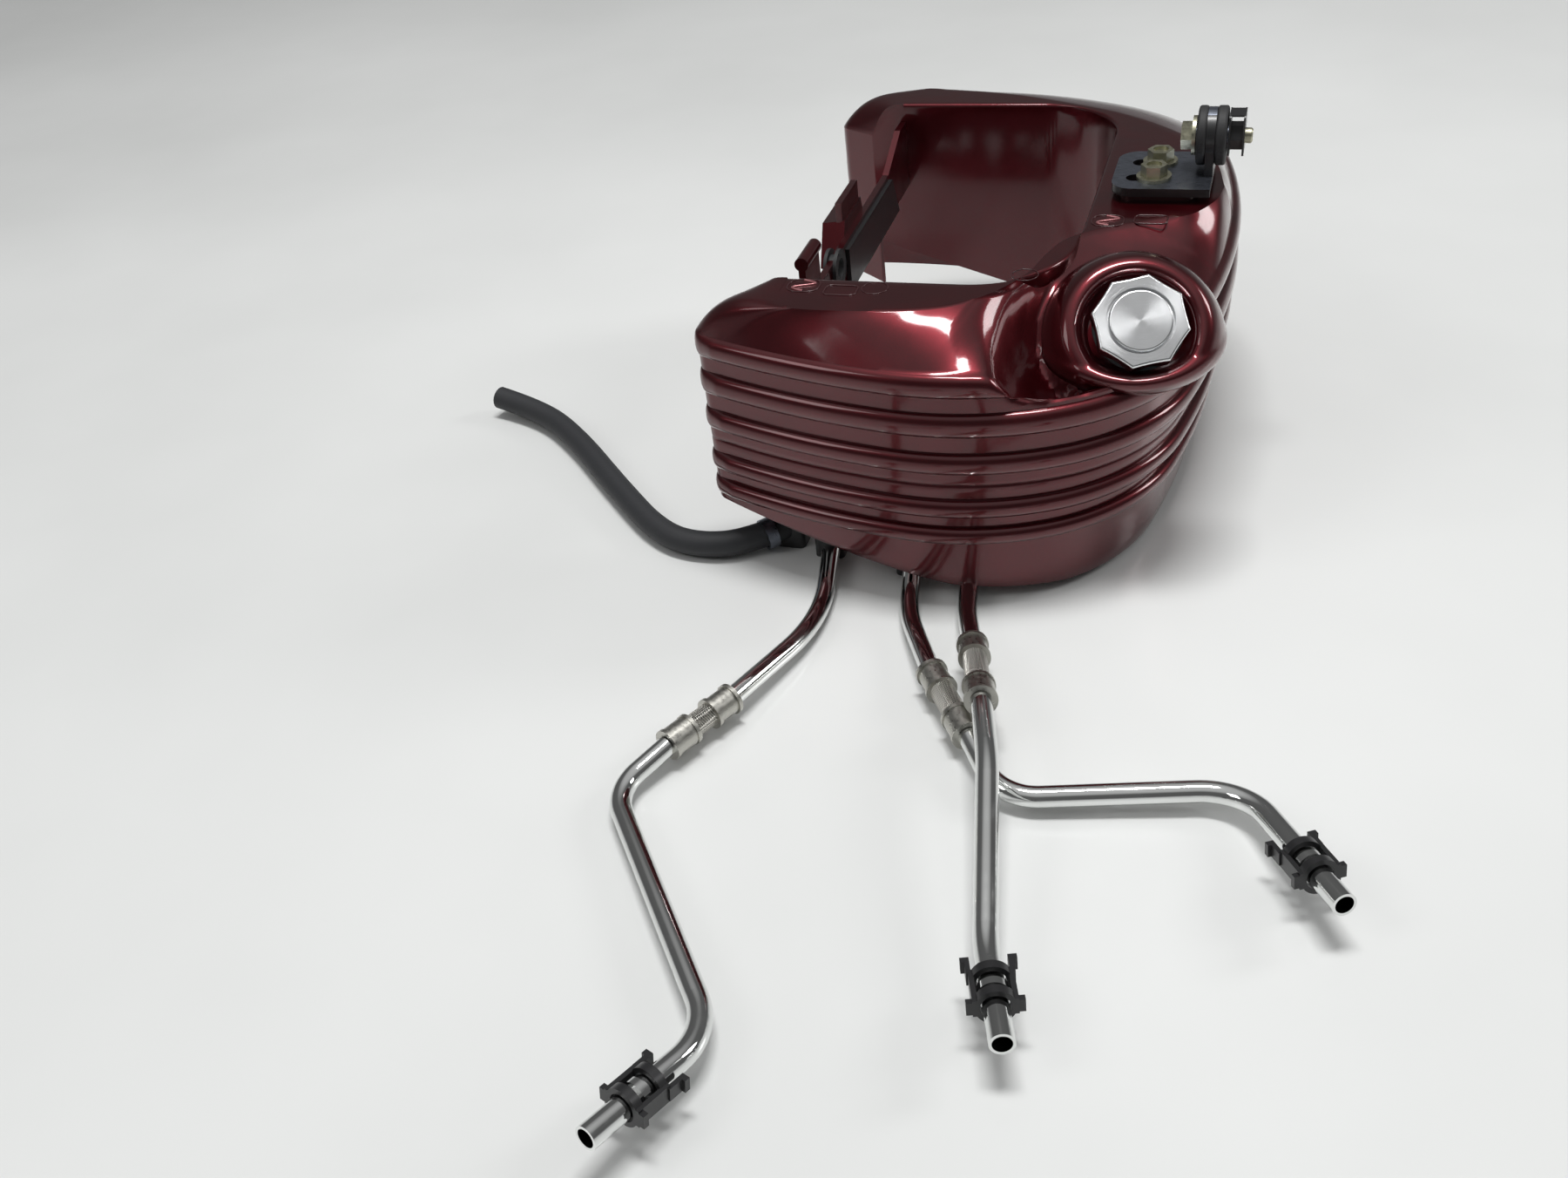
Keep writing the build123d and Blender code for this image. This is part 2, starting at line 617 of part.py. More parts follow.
def bend_radii(points):
    """The largest smooth radius at each inner point of a hose."""
    radii = []
    for a, b, c in zip(points[:-2], points[1:-1], points[2:]):
        u = Vector(*b) - Vector(*a)
        v = Vector(*c) - Vector(*b)
        half = radians(u.get_angle(v)) / 2
        radii.append(0.45 * min(u.length, v.length) / tan(half))
    return radii


hose_bends = bend_radii(hose_points)
print("hose bends", [round(r, 1) for r in hose_bends])
hose_start = Vector(*hose_points[0])
hose_dir = (Vector(*hose_points[1]) - hose_start).normalized()
drain_fitting = fitting(drain_foot, height=16) - spin(hose_start, hose_dir, [(0, 30, HOSE)], 0)
save(drain_fitting, "drain_fitting")
save(tube(hose_points, hose_bends, HOSE, 0), "drain_hose")
save(spin(hose_start, hose_dir, [(9.6, 14.6, HOSE + 2.4)], HOSE), "hose_clamp")
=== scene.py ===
"""Looks of the horseshoe oil tank: candy red shells, spun cap, chrome lines, rubber hose.

Everything is in metres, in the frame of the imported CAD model.
"""
import json
from math import acos, cos, pi, radians, sin, sqrt, tan

import bmesh
import bpy
import numpy as np
from mathutils import Matrix, Vector


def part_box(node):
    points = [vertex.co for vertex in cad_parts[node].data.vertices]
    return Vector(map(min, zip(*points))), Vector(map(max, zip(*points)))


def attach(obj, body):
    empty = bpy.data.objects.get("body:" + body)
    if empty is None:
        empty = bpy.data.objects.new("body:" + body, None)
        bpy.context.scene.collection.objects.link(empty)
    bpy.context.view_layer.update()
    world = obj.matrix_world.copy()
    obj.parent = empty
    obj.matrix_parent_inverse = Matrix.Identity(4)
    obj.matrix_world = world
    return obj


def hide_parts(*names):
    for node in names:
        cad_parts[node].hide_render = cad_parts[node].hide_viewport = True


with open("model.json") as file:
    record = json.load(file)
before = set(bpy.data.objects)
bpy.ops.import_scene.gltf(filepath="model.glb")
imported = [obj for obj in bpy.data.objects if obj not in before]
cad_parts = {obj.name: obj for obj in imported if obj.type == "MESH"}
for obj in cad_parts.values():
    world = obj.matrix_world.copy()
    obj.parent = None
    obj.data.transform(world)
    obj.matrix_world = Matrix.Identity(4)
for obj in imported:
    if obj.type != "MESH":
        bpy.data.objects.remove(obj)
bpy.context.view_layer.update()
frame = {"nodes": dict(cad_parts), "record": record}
nodes = frame["nodes"]
MM = 0.001

# ---- driving sizes of the shells, in millimetres ------------------------------------------------
TOP = 121.0
BAY_HALF = 100.0
BAY_FRONT = -25.0
BAY_CORNER = 39.0
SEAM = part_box("tank_lower_shell")[1][2] * 1000
SHOULDER = 105.0
WALL = 2.0
RIB = 3.5
WALL_ARCS = [(360, 12.5), (81, 62), (110, 98), (340, 111.5), (7, 240)]
WALL_LEG = -166.5
WALL_END = 31.5
RIBS = [(95, 105), (78, 88.5), (61.5, 71), (41.5, 50), (29, 37)]
RIM = [(-230, 36), (-120, 18.2), (-62, 8), (-10, 4), (60, 4)]
FLOOR_SLOPE = 17.4
LEAN = [(0, 20), (24, 22), (33, 24.5), (45, 26.5), (56, 28.5), (66, 30), (78, 31.5), (121, 31.5)]

# flange crease: share of the way round the wall, x, y
CREASE_FAR = [(0.0, 27.5, 0), (0.10, 22, 27), (0.19, 10, 53), (0.27, -6, 71), (0.37, -29, 89),
              (0.47, -52, 101), (0.57, -75, 111.5), (0.67, -96, 118), (0.78, -116, 122),
              (0.86, -127, 123.5), (0.90, -131.5, 121.5), (0.925, -134, 117), (0.96, -134.6, 108),
              (1.0, -135, 100)]
CREASE_NEAR = [(0.0, 27.5, 0), (0.07, 25, -15), (0.13, 18, -28), (0.21, 6, -35), (0.28, -8, -41),
               (0.34, -21, -48), (0.40, -31, -58), (0.455, -36, -72), (0.51, -40, -88),
               (0.565, -49, -105), (0.62, -62, -118), (0.69, -79, -124.5), (0.77, -98, -127),
               (0.86, -124, -127), (0.90, -130, -125.5), (0.925, -134, -120), (0.96, -134.6, -110),
               (1.0, -135, -100)]
POD_AT = np.array((1.0, -93.0, 97.0))
POD_AXIS = np.array((0.2008, -0.6826, 0.7027))
POD_LEVEL = np.array((0.9593, 0.2822, 0.0))
POD_UP = np.cross(POD_AXIS, POD_LEVEL)


# ---- materials ----------------------------------------------------------------------------------
def material(name, color, metallic=0.0, rough=0.5, coat=0.0, coat_rough=0.03, spec=0.5):
    """A Principled material with uniform values on its own sockets."""
    m = bpy.data.materials.new(name)
    m.use_nodes = True
    b = m.node_tree.nodes["Principled BSDF"]
    b.inputs["Base Color"].default_value = (*color, 1)
    b.inputs["Metallic"].default_value = metallic
    b.inputs["Roughness"].default_value = rough
    b.inputs["Coat Weight"].default_value = coat
    b.inputs["Coat Roughness"].default_value = coat_rough
    b.inputs["Specular IOR Level"].default_value = spec
    return m


def noise(m, scale, detail=4.0, stretch=(1, 1, 1)):
    """A noise texture in object space, in cycles per metre."""
    t = m.node_tree
    place = t.nodes.new("ShaderNodeMapping")
    place.inputs["Scale"].default_value = stretch
    where = t.nodes.new("ShaderNodeTexCoord")
    n = t.nodes.new("ShaderNodeTexNoise")
    n.inputs["Scale"].default_value = scale
    n.inputs["Detail"].default_value = detail
    t.links.new(where.outputs["Object"], place.inputs["Vector"])
    t.links.new(place.outputs["Vector"], n.inputs["Vector"])
    return n


def ramp(m, source, low, high, a, b):
    """Colour ramp from a at low to b at high."""
    r = m.node_tree.nodes.new("ShaderNodeValToRGB")
    r.color_ramp.elements[0].position = low
    r.color_ramp.elements[1].position = high
    r.color_ramp.elements[0].color = a if len(a) == 4 else (*a, 1)
    r.color_ramp.elements[1].color = b if len(b) == 4 else (*b, 1)
    m.node_tree.links.new(source, r.inputs["Fac"])
    return r


def bump(m, source, strength, distance):
    """Small relief on the surface."""
    t = m.node_tree
    b = t.nodes.new("ShaderNodeBump")
    b.inputs["Strength"].default_value = strength
    b.inputs["Distance"].default_value = distance
    t.links.new(source, b.inputs["Height"])
    t.links.new(b.outputs["Normal"], t.nodes["Principled BSDF"].inputs["Normal"])
    return b


def shader(m):
    return m.node_tree.nodes["Principled BSDF"]


def candy_paint():
    """Deep candy red: fine metal flake under colour, then clear coat, with a little road dust."""
    m = material("candy red", (0.08, 0.003, 0.006), 0.85, 0.38, 1.0, 0.09)
    t = m.node_tree
    flake = noise(m, 9000, 2)
    tone = ramp(m, flake.outputs["Fac"], 0.35, 0.7, (0.050, 0.0022, 0.0055), (0.125, 0.0035, 0.009))
    t.links.new(tone.outputs["Color"], shader(m).inputs["Base Color"])
    cloud = noise(m, 60, 6)
    dull = ramp(m, cloud.outputs["Fac"], 0.4, 0.75, (0.32, 0.32, 0.32), (0.44, 0.44, 0.44))
    t.links.new(dull.outputs["Color"], shader(m).inputs["Roughness"])
    peel = noise(m, 260, 2)
    b = bump(m, peel.outputs["Fac"], 0.03, 0.0002)
    t.links.new(b.outputs["Normal"], shader(m).inputs["Coat Normal"])
    shader(m).inputs["Coat Tint"].default_value = (1.0, 0.93, 0.92, 1)
    return m


def brushed(name, color, rough, scale, stretch):
    """Metal with fine brush lines."""
    m = material(name, color, 1.0, rough)
    n = noise(m, scale, 3, stretch)
    r = ramp(m, n.outputs["Fac"], 0.3, 0.7, (rough * 0.75,) * 3, (rough * 1.3,) * 3)
    m.node_tree.links.new(r.outputs["Color"], shader(m).inputs["Roughness"])
    bump(m, n.outputs["Fac"], 0.12, 0.0001)
    return m


def spun_metal(center, across, up, axis):
    """Spun aluminium: fine rings round the cap's axis and a cross-shaped highlight."""
    m = material("spun aluminium", (0.80, 0.81, 0.82), 1.0, 0.24)
    t = m.node_tree
    where = t.nodes.new("ShaderNodeTexCoord")
    shift = t.nodes.new("ShaderNodeVectorMath")
    shift.operation = "SUBTRACT"
    shift.inputs[1].default_value = tuple(center)
    t.links.new(where.outputs["Object"], shift.inputs[0])
    side = t.nodes.new("ShaderNodeVectorMath")
    side.operation = "CROSS_PRODUCT"
    side.inputs[1].default_value = tuple(axis)
    t.links.new(shift.outputs["Vector"], side.inputs[0])
    size = t.nodes.new("ShaderNodeVectorMath")
    size.operation = "LENGTH"
    t.links.new(side.outputs["Vector"], size.inputs[0])
    rings = t.nodes.new("ShaderNodeTexNoise")
    rings.noise_dimensions = "1D"
    rings.inputs["Scale"].default_value = 5200
    rings.inputs["Detail"].default_value = 4
    t.links.new(size.outputs["Value"], rings.inputs["W"])
    bump(m, rings.outputs["Fac"], 0.35, 0.00008)
    shader(m).inputs["Anisotropic"].default_value = 0.85
    turn = t.nodes.new("ShaderNodeVectorMath")
    turn.operation = "NORMALIZE"
    t.links.new(side.outputs["Vector"], turn.inputs[0])
    t.links.new(turn.outputs["Vector"], shader(m).inputs["Tangent"])
    return m


def woven(name, pitch):
    """Stainless braid: crossing wires, with painted shade in the gaps between them and a painted
    highlight on their crowns.
    """
    m = material(name, (0.52, 0.50, 0.44), 1.0, 0.36)
    t = m.node_tree
    where = t.nodes.new("ShaderNodeTexCoord")
    heights = []
    for turn in (0.8, -0.8):
        place = t.nodes.new("ShaderNodeMapping")
        place.inputs["Rotation"].default_value = (turn, 0.3, turn)
        w = t.nodes.new("ShaderNodeTexWave")
        w.inputs["Scale"].default_value = pitch
        t.links.new(where.outputs["Object"], place.inputs["Vector"])
        t.links.new(place.outputs["Vector"], w.inputs["Vector"])
        heights.append(w.outputs["Fac"])
    top = t.nodes.new("ShaderNodeMath")
    top.operation = "MAXIMUM"
    t.links.new(heights[0], top.inputs[0])
    t.links.new(heights[1], top.inputs[1])
    bump(m, top.outputs["Value"], 0.9, 0.0006)
    # painted shade and light: base colour darker where the weave is low between the wires, lighter on
    # the wires' crowns
    tone = ramp(m, top.outputs["Value"], 0.2, 0.9, (0.30, 0.29, 0.26), (0.72, 0.70, 0.65))
    t.links.new(tone.outputs["Color"], shader(m).inputs["Base Color"])
    return m


paint = candy_paint()
dark_paint = material("dark maroon", (0.050, 0.010, 0.012), 0.2, 0.35, 0.6, 0.1)
chrome = material("chrome", (0.78, 0.79, 0.78), 1.0, 0.07)
smudge = noise(chrome, 90, 5)
smudge_ramp = ramp(chrome, smudge.outputs["Fac"], 0.45, 0.8, (0.05, 0.05, 0.05), (0.22, 0.22, 0.22))
chrome.node_tree.links.new(smudge_ramp.outputs["Color"], shader(chrome).inputs["Roughness"])
nickel = brushed("dull nickel", (0.50, 0.49, 0.45), 0.33, 700, (1, 1, 1))
steel = brushed("burnished steel", (0.24, 0.26, 0.31), 0.33, 260, (1, 14, 1))
zinc = brushed("yellow zinc", (0.45, 0.44, 0.33), 0.38, 900, (1, 1, 1))
black_metal = material("black steel", (0.014, 0.014, 0.015), 0.0, 0.38, 0.3, 0.15)
plastic = material("black plastic", (0.018, 0.018, 0.019), 0.0, 0.34)
rubber = material("black rubber", (0.020, 0.020, 0.021), 0.0, 0.62)
bump(rubber, noise(rubber, 1500, 3).outputs["Fac"], 0.25, 0.0002)
hose_rubber = material("hose rubber", (0.026, 0.027, 0.030), 0.0, 0.60)
bump(hose_rubber, noise(hose_rubber, 900, 5).outputs["Fac"], 0.35, 0.0003)
cap_metal = spun_metal(POD_AT * MM, POD_LEVEL, POD_UP, POD_AXIS)
braid_metal = woven("steel braid", 520)

SLOT_LOOKS = {
    "paint": paint, "chrome": chrome, "nickel": nickel, "steel": steel, "zinc": zinc,
    "alu": cap_metal, "black_plastic": plastic, "rubber": rubber, "black_metal": black_metal,
}
for part in frame["record"]["subparts"]:
    o = nodes[part["node"]]
    o.data.materials.clear()
    o.data.materials.append(SLOT_LOOKS[part["material_slot"]])
    if part["node"].endswith("_braid"):
        o.data.materials[0] = braid_metal
    if part["node"] == "ear_nut":
        o.data.materials[0] = black_metal
# painted shade: faces of the bracket plate that do not face straight up get black steel, darkening its
# edges and underside by facing direction
plate = nodes["mount_bracket"].data
plate.materials.append(black_metal)
for face in plate.polygons:
    face.material_index = 0 if face.normal.z > 0.9 else 1
nodes["bracket_pad"].data.materials[0] = dark_paint
# painted shade: the sump pad under the closed end is dark maroon, darkening the gap under the skirt like
# the contact shadow there
nodes["sump_pad"].data.materials[0] = dark_paint


# ---- tank skin ----------------------------------------------------------------------------------
def smooth_curve(rows, at):
    """Values of a smooth curve through the rows (parameter, values...) at the given parameters."""
    rows = np.array(rows, float)
    s = rows[:, 0]
    slope = np.gradient(rows[:, 1:], s, axis=0)
    i = np.clip(np.searchsorted(s, at, side="right") - 1, 0, len(s) - 2)
    h = (s[i + 1] - s[i])[:, None]
    f = ((at - s[i]) / (s[i + 1] - s[i]))[:, None]
    a, b = rows[i, 1:], rows[i + 1, 1:]
    return (a * (1 + 2 * f) * (1 - f) ** 2 + slope[i] * h * f * (1 - f) ** 2
            + b * f * f * (3 - 2 * f) - slope[i + 1] * h * f * f * (1 - f))


def wall_outline(share):
    """Points, and outward normals, on the near half of the wall at shares of its length."""
    x, y, head = WALL_END, 0.0, 0.0
    pieces = []
    for i, (r, turn) in enumerate(WALL_ARCS):
        h = radians(turn)
        if i == 3:
            h = acos(cos(head) + (WALL_LEG - x) / r)
        pieces.append((r * (h - head), x, y, head, r))
        x += r * (cos(h) - cos(head))
        y -= r * (sin(h) - sin(head))
        head = h
    run = (-BAY_HALF - y) / -cos(head)
    pieces.append((run, x, y, head, None))
    total = sum(p[0] for p in pieces)
    points, normals = [], []
    for s in share:
        left = s * total
        for length, x, y, head, r in pieces:
            if left <= length + 1e-6:
                break
            left -= length
        if r is None:
            points.append((x - sin(head) * left, y - cos(head) * left))
            h = head
        else:
            h = head + left / r
            points.append((x + r * (cos(h) - cos(head)), y - r * (sin(h) - sin(head))))
        normals.append((cos(h), -sin(h)))
    return np.array(points), np.array(normals)


def bay_outline(crease):
    """The point of the bay's edge that faces each crease point."""
    out = []
    for x, y in crease:
        side = -1 if y < 0 else 1
        if x <= BAY_FRONT - BAY_CORNER:
            out.append((x, side * BAY_HALF))
            continue
        center = np.array((BAY_FRONT - BAY_CORNER, 0.0))
        d = np.array((x, y)) - center
        d /= np.linalg.norm(d)
        hub = np.array((BAY_FRONT - BAY_CORNER, side * (BAY_HALF - BAY_CORNER)))
        flat = BAY_CORNER / d[0] if d[0] > 1e-6 else 1e9
        if abs(d[1] * flat) <= BAY_HALF - BAY_CORNER:
            out.append(tuple(center + d * flat))
            continue
        w = center - hub
        b = float(w @ d)
        c = float(w @ w) - BAY_CORNER ** 2
        out.append(tuple(center + d * (-b + sqrt(max(b * b - c, 0)))))
    return np.array(out)


# how far along the filler's axis the wall may reach, by distance from the axis
POD_CLEAR = [(0, 4), (28, 4), (31, 5), (34, 2), (37, 0), (42, 4), (48, 11), (56, 22), (66, 40), (80, 90)]


def clear_of_pod(p):
    """Pushes a point of the upper wall back along the filler's axis, so the pod stands clear."""
    p = np.array(p, float)
    d = p - POD_AT
    s = float(d @ POD_AXIS)
    r = float(np.linalg.norm(d - POD_AXIS * s))
    over = s - np.interp(r, *zip(*POD_CLEAR))
    if over < -30 or p[2] < 90:
        return tuple(p)
    over = (over + sqrt(over * over + 20)) / 2
    w = min((p[2] - 90) / 9, 1.0)
    return tuple(p - POD_AXIS * over * w * w * (3 - 2 * w))


def rib_height(z):
    """How far the wall stands proud at height z."""
    for low, high in RIBS:
        if low < z < high:
            s = 2 * (z - low) / (high - low) - 1
            return RIB * (1 - abs(s) ** 2.3) ** 0.62
    if abs(z - SEAM) < 0.9:
        return -0.5 * (1 - abs(z - SEAM) / 0.9)
    return 0.0


def wall_rows():
    """Heights of the wall's rows, close together on the ribs."""
    rows = [SHOULDER]
    top = SHOULDER
    for low, high in RIBS:
        if top > high:
            rows += list(np.linspace(top, high, 5)[1:])
        mid, half = (low + high) / 2, (high - low) / 2
        rows += [mid + half * cos(a) for a in np.linspace(0, pi, 15)[1:]]
        top = low
    rows = [z for z in rows if abs(z - SEAM) > 1.2] + [SEAM + d for d in (1.0, 0.5, 0, -0.5, -1.0)]
    return sorted(rows, reverse=True)


def build_skin():
    """The two shells as one skin: a closed loop of rows swept round the horseshoe."""
    half = np.concatenate([np.linspace(0, 0.86, 150), np.linspace(0.86, 1, 40)[1:]])
    wall, normal = wall_outline(half)
    columns = []
    for side, table in ((1, CREASE_FAR), (-1, CREASE_NEAR)):
        crease = smooth_curve(table, half)
        w = wall * (1, -side)
        n = normal * (1, -side)
        bay = bay_outline(crease)
        pod = np.zeros(len(half))
        if side < 0:
            pod = np.clip((half - 0.05) / 0.10, 0, 1) * np.clip((0.60 - half) / 0.08, 0, 1)
            pod = pod * pod * (3 - 2 * pod)
        cols = list(zip(w, n, crease, bay, pod, half))
        columns += cols[::-1] if side > 0 else cols[1:]
    heights = wall_rows()
    verts = []
    for w, n, c, b, pod, s in columns:
        loop = []
        across = c - b
        span = np.linalg.norm(across)
        unit = across / span if span > 0.01 else np.array((1.0, 0.0))
        # inner edge of the flange, a small roll
        r = min(1.6, span * 0.3 + 0.05)
        for a in np.linspace(0, pi / 2, 5):
            p = b + unit * r * (1 - cos(a))
            loop.append((p[0], p[1], TOP - r + r * sin(a)))
        for f in np.linspace(0.12, 1.0, 10):
            p = b + unit * r + (c - b - unit * r) * f
            loop.append((p[0], p[1], TOP))
        # shoulder, hollow round the pod and full elsewhere
        for t in np.linspace(1, 0, 22)[1:]:
            p = w + (c - w) * t
            u = 1 - t
            full = 1 - (0.42 * u + 0.58 * u ** 2.4)
            hollow = 1 - (1 - (1 - u) ** 2.6) * 0.62 - 0.38 * u ** 3
            end = np.clip((s - 0.86) / 0.06, 0, 1)
            f = (full * (1 - end) + (1 - u ** 3.2) * end) * (1 - pod) + hollow * pod
            q = (p[0], p[1], SHOULDER + (TOP - SHOULDER) * f)
            loop.append(clear_of_pod(q) if pod > 0 else q)
        lean_way = max(n[0], 0.0)
        for z in heights[1:]:
            lean = (np.interp(z, *zip(*LEAN)) - WALL_END) * lean_way
            g = rib_height(z)
            p = w + n * g * np.clip((0.93 - s) / 0.05, 0, 1)
            q = (p[0] + lean, p[1], z)
            loop.append(clear_of_pod(q) if pod > 0 else q)
        z_rim = np.interp(w[0], *zip(*RIM))
        z_low = heights[-1]
        for f in np.linspace(0, 1, 9)[1:]:
            z = z_low + (z_rim - z_low) * f
            lean = (np.interp(z, *zip(*LEAN)) - WALL_END) * lean_way
            tuck = -0.8 * max(0, (f - 0.85) / 0.15) ** 2
            p = w + n * tuck
            loop.append((p[0] + lean, p[1], z))
        # inside of the skirt, the tank floor and the bay wall
        p = w - n * WALL + np.array((lean, 0))
        loop.append((p[0], p[1], z_rim + 0.2))
        floor = max(30 + (-95 - w[0]) * tan(radians(FLOOR_SLOPE)), 4.0)
        loop.append((p[0], p[1], max(floor, z_rim + 0.4)))
        for f in np.linspace(0, 1, 6)[1:]:
            q = p + (b - p) * f
            z = max(30 + (-95 - q[0]) * tan(radians(FLOOR_SLOPE)), 4.2)
            loop.append((q[0], q[1], z))
        z0 = loop[-1][2]
        for f in np.linspace(0, 1, 26)[1:-1]:
            z = z0 + (TOP - r - z0) * f
            loop.append((b[0], b[1], z))
        verts.append(loop)
    return np.array(verts) * MM


def grid_mesh(name, grid, look):
    """A tube of quads from a grid of closed loops, with flat ends."""
    cols, rows = grid.shape[:2]
    faces = []
    for i in range(cols - 1):
        for j in range(rows):
            k = (j + 1) % rows
            faces.append((i * rows + j, i * rows + k, (i + 1) * rows + k, (i + 1) * rows + j))
    faces.append(tuple(range(rows))[::-1])
    faces.append(tuple((cols - 1) * rows + j for j in range(rows)))
    mesh = bpy.data.meshes.new(name)
    mesh.from_pydata(grid.reshape(-1, 3).tolist(), [], faces)
    mesh.validate()
    mesh.materials.append(look)
    o = bpy.data.objects.new(name, mesh)
    bpy.context.scene.collection.objects.link(o)
    return o


def tidy_mesh(o, angle):
    """Merges doubles, points the faces outward and keeps crisp edges crisp."""
    bm = bmesh.new()
    bm.from_mesh(o.data)
    bmesh.ops.remove_doubles(bm, verts=bm.verts, dist=0.00003)
    bmesh.ops.recalc_face_normals(bm, faces=bm.faces)
    bm.to_mesh(o.data)
    bm.free()
    o.data.shade_smooth()
    o.data.set_sharp_from_angle(angle=radians(angle))


def lathe(name, profile, center, axis, across, up, look, steps=96, squash=None):
    """A surface of revolution; profile rows are (radius, height along the axis)."""
    verts = []
    for i in range(steps):
        a = 2 * pi * i / steps
        ring = []
        for r, h in profile:
            p = center + axis * h + (across * cos(a) + up * sin(a)) * r
            if squash:
                p = squash(p)
            ring.append(p)
        verts.append(ring)
    grid = np.array(verts) * MM
    cols, rows = grid.shape[:2]
    faces = []
    for i in range(cols):
        n = (i + 1) % cols
        for j in range(rows - 1):
            faces.append((i * rows + j, i * rows + j + 1, n * rows + j + 1, n * rows + j))
    mesh = bpy.data.meshes.new(name)
    mesh.from_pydata(grid.reshape(-1, 3).tolist(), [], faces)
    mesh.materials.append(look)
    o = bpy.data.objects.new(name, mesh)
    bpy.context.scene.collection.objects.link(o)
    tidy_mesh(o, 40)
    return o


skin = grid_mesh("tank_skin", build_skin(), paint)
tidy_mesh(skin, 38)
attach(skin, "tank")

# filler pod: a rounded ridge round the cap, falling away to the shoulder
pod_rows = [(18.0, 6), (19.5, 8), (21.5, 12.0), (24, 13.8), (27, 13.2), (30.5, 10), (33.5, 5), (35.5, 0),
            (37, -6), (38, -12)]
steps = [sqrt((p[0] - q[0]) ** 2 + (p[1] - q[1]) ** 2) for p, q in zip(pod_rows, pod_rows[1:])]
arc = np.cumsum([0] + steps)
pod_rows = [(a, *p) for a, p in zip(arc, pod_rows)]
pod_profile = [tuple(p) for p in smooth_curve(pod_rows, np.linspace(0, arc[-1], 40))]


def flatten(p):
    """Keeps the pod's underside above the second rib."""
    low = POD_AT[2]
    if p[2] < low:
        p = p.copy()
        p[2] = low - (low - p[2]) * 0.45
    return p


pod = lathe("filler_pod", pod_profile, POD_AT, POD_AXIS, POD_LEVEL, POD_UP, paint, 128, flatten)
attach(pod, "tank")
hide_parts("tank_upper_shell", "tank_lower_shell")
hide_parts("filler_neck")

# ---- pressed marks on the flange ----------------------------------------------------------------
scar_paint = material("scarred paint", (0.42, 0.16, 0.17), 0.6, 0.3, 0.6, 0.1)


def mark(name, at, path, closed, thick, look):
    """A fine raised line on the flange; path is in millimetres about its middle."""
    line = bpy.data.curves.new(name, "CURVE")
    line.dimensions = "3D"
    run = line.splines.new("POLY")
    run.points.add(len(path) - 1)
    for q, (x, y) in zip(run.points, path):
        q.co = ((at[0] + x) * MM, (at[1] + y) * MM, (TOP + thick * 0.2) * MM, 1)
    run.use_cyclic_u = closed
    line.bevel_depth = thick * MM
    line.bevel_resolution = 2
    line.materials.append(look)
    o = bpy.data.objects.new(name, line)
    bpy.context.scene.collection.objects.link(o)
    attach(o, "tank")


def rounded_box(wide, deep, r):
    """Points of a rectangle with round corners."""
    return [((wide / 2 - r) * sx + r * cos(a), (deep / 2 - r) * sy + r * sin(a))
            for sx, sy, start in ((1, 1, 0), (-1, 1, 90), (-1, -1, 180), (1, -1, 270))
            for a in np.radians(np.linspace(start, start + 90, 6))]


RING_R = 5.2
ring = [(RING_R * cos(a), RING_R * sin(a)) for a in np.linspace(0, 2 * pi, 41)[:-1]]
scar = [(4.2 * sin(t * 2.4), 3.4 * t) for t in np.linspace(-1.4, 1.4, 30)]
for i, at in enumerate(((-97, -107), (-41, -91))):
    mark(f"flange_ring_{i + 1}", at, ring, True, 0.22, dark_paint)
for i, at in enumerate(((-110, -110), (1, -36))):
    mark(f"flange_box_{i + 1}", at, rounded_box(13, 8.5, 2.2), True, 0.35, dark_paint)
for i, at in enumerate(((-126, -107), (-16, -38))):
    mark(f"flange_scar_{i + 1}", at, scar, False, 0.55, scar_paint)
    mark(f"flange_scar_edge_{i + 1}", at, rounded_box(13, 11, 4.5), True, 0.3, dark_paint)

# ---- drain hose ---------------------------------------------------------------------------------
HOSE_D = 11.5
HOSE_POINTS = [(-141, -111, 9), (-157.3, -125.7, 7), (-179, -130.3, 6), (-200, -123.5, 6),
               (-231.5, -93, 6), (-274, -48.5, 6), (-303, -27, 6.5), (-329, -20.5, 9)]
curve = bpy.data.curves.new("hose", "CURVE")
curve.dimensions = "3D"
spline = curve.splines.new("NURBS")
spline.points.add(len(HOSE_POINTS) - 1)
for p, q in zip(spline.points, HOSE_POINTS):
    p.co = (q[0] * MM, q[1] * MM, q[2] * MM, 1)
spline.order_u = 3
spline.use_endpoint_u = True
spline.resolution_u = 24
curve.bevel_depth = HOSE_D / 2 * MM
curve.bevel_resolution = 8
curve.use_fill_caps = True
hose = bpy.data.objects.new("hose", curve)
bpy.context.scene.collection.objects.link(hose)
hose.data.materials.append(hose_rubber)
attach(hose, "tank")
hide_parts("drain_hose")

# ---- stage: floor, lights, camera ---------------------------------------------------------------
bpy.ops.mesh.primitive_plane_add(size=6, location=(0, 0, 0))
floor = bpy.context.object
floor.name = "stage_floor"
floor_look = material("floor", (0.80, 0.81, 0.80), 0.0, 0.22)
patch = noise(floor_look, 3, 4)
floor_tone = ramp(floor_look, patch.outputs["Fac"], 0.3, 0.7, (0.74, 0.75, 0.74), (0.83, 0.84, 0.83))
floor_look.node_tree.links.new(floor_tone.outputs["Color"], shader(floor_look).inputs["Base Color"])
floor.data.materials.append(floor_look)


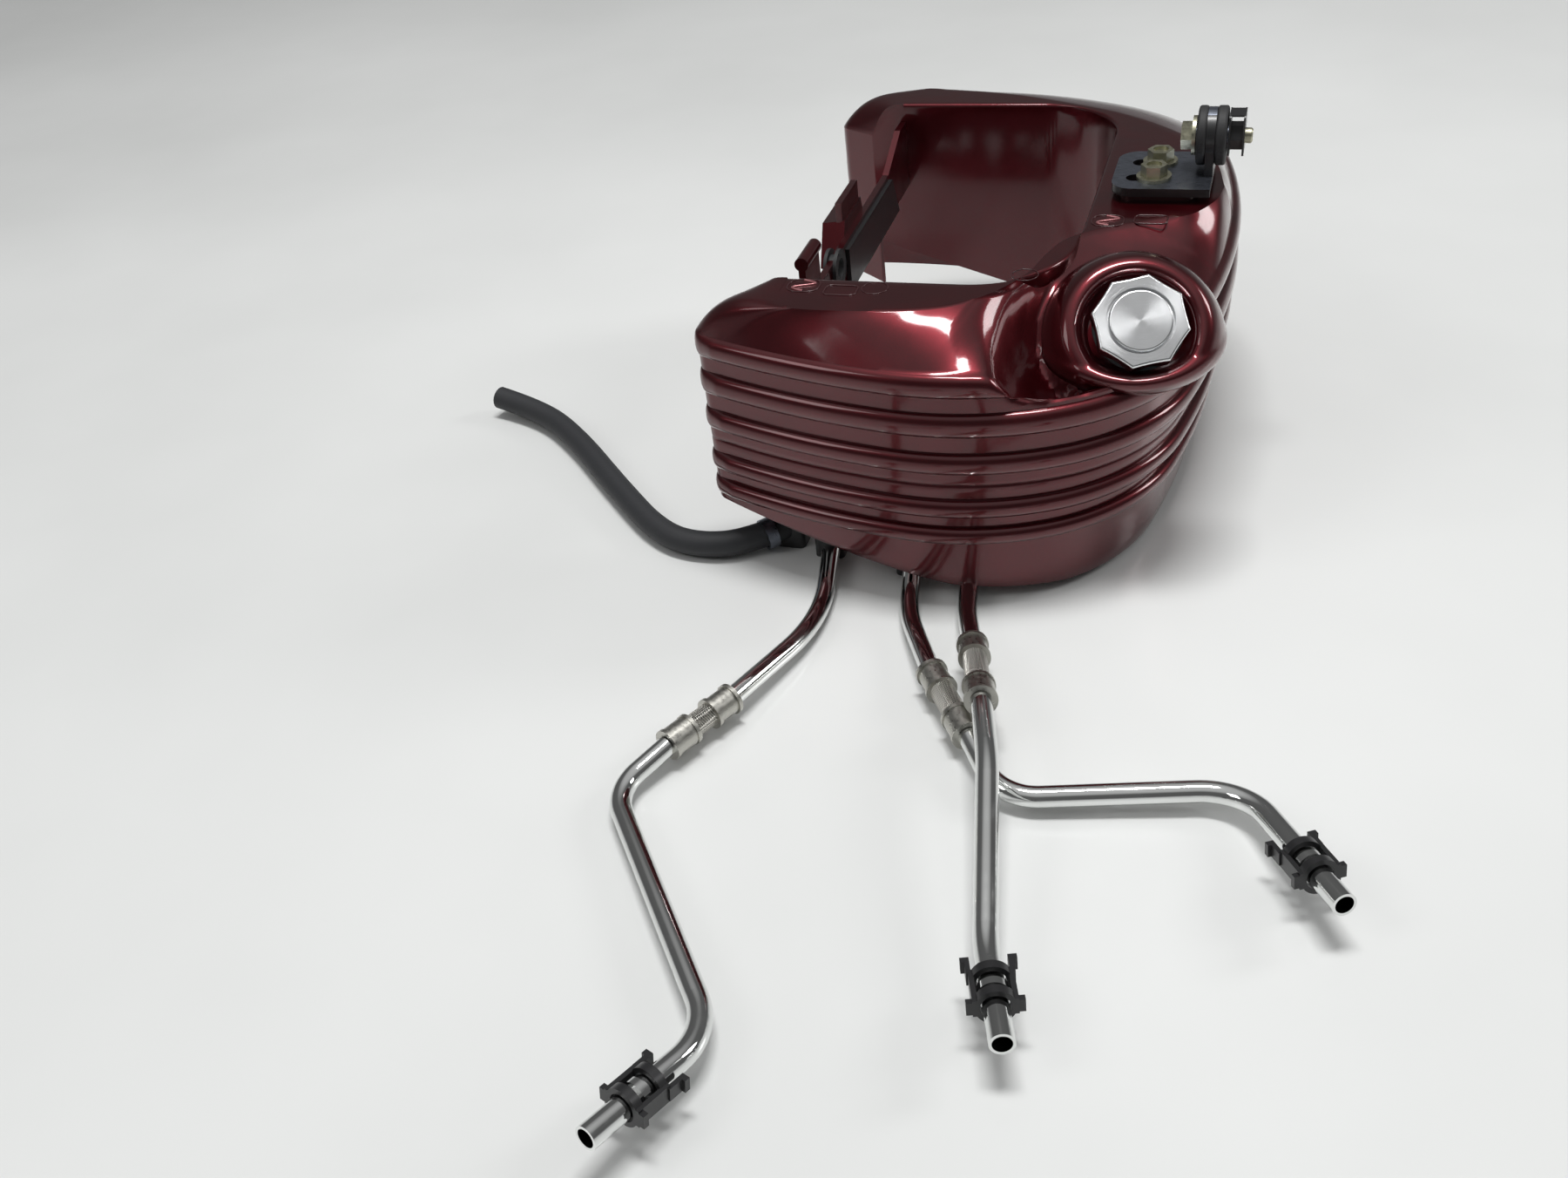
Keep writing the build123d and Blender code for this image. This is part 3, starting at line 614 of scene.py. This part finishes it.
def card(name, at, toward, size, power):
    """A rectangular area light."""
    light = bpy.data.lights.new(name, "AREA")
    light.shape = "RECTANGLE"
    light.size, light.size_y = size
    light.energy = power
    o = bpy.data.objects.new(name, light)
    bpy.context.scene.collection.objects.link(o)
    o.location = at
    o.rotation_euler = (Vector(toward) - Vector(at)).to_track_quat("-Z", "Y").to_euler()
    return o


lights = [
    card("stage_ceiling", (0.0, 0.0, 2.2), (0, 0, 0), (0.9, 0.35), 33),
    card("stage_window", (1.9, 0.9, 1.3), (0, 0, 0.05), (0.5, 0.7), 12),
    card("stage_fill", (-1.6, -1.2, 1.6), (0, 0, 0), (0.8, 0.8), 6),
]
world = bpy.data.worlds.new("room")
bpy.context.scene.world = world
world.use_nodes = True
wt = world.node_tree
sky = wt.nodes["Background"]
where = wt.nodes.new("ShaderNodeTexCoord")
split = wt.nodes.new("ShaderNodeSeparateXYZ")
wt.links.new(where.outputs["Generated"], split.inputs["Vector"])
tones = wt.nodes.new("ShaderNodeValToRGB")
tones.color_ramp.elements[0].position = 0.0
tones.color_ramp.elements[0].color = (0.32, 0.32, 0.325, 1)
tones.color_ramp.elements[1].position = 1.0
tones.color_ramp.elements[1].color = (0.65, 0.65, 0.65, 1)
for at, value in ((0.16, 0.12), (0.62, 0.14), (0.82, 0.55)):
    e = tones.color_ramp.elements.new(at)
    e.color = (value, value, value, 1)
wt.links.new(split.outputs["Z"], tones.inputs["Fac"])
wt.links.new(tones.outputs["Color"], sky.inputs["Color"])
sky.inputs["Strength"].default_value = 0.80

camera = bpy.data.cameras.new("camera")
camera.lens = 34.49
camera.sensor_width = 36
cam = bpy.data.objects.new("camera", camera)
bpy.context.scene.collection.objects.link(cam)
right = Vector((0.9509, 0.2914, -0.1041))
up = Vector((-0.0929, 0.5897, 0.8023))
back = Vector((0.2952, -0.7532, 0.5878))
turn = Matrix((right, up, back)).transposed().to_4x4()
cam.matrix_world = Matrix.Translation((0.0534, -0.6285, 0.3753)) @ turn
bpy.context.scene.camera = cam
bpy.context.scene.view_settings.view_transform = "Standard"
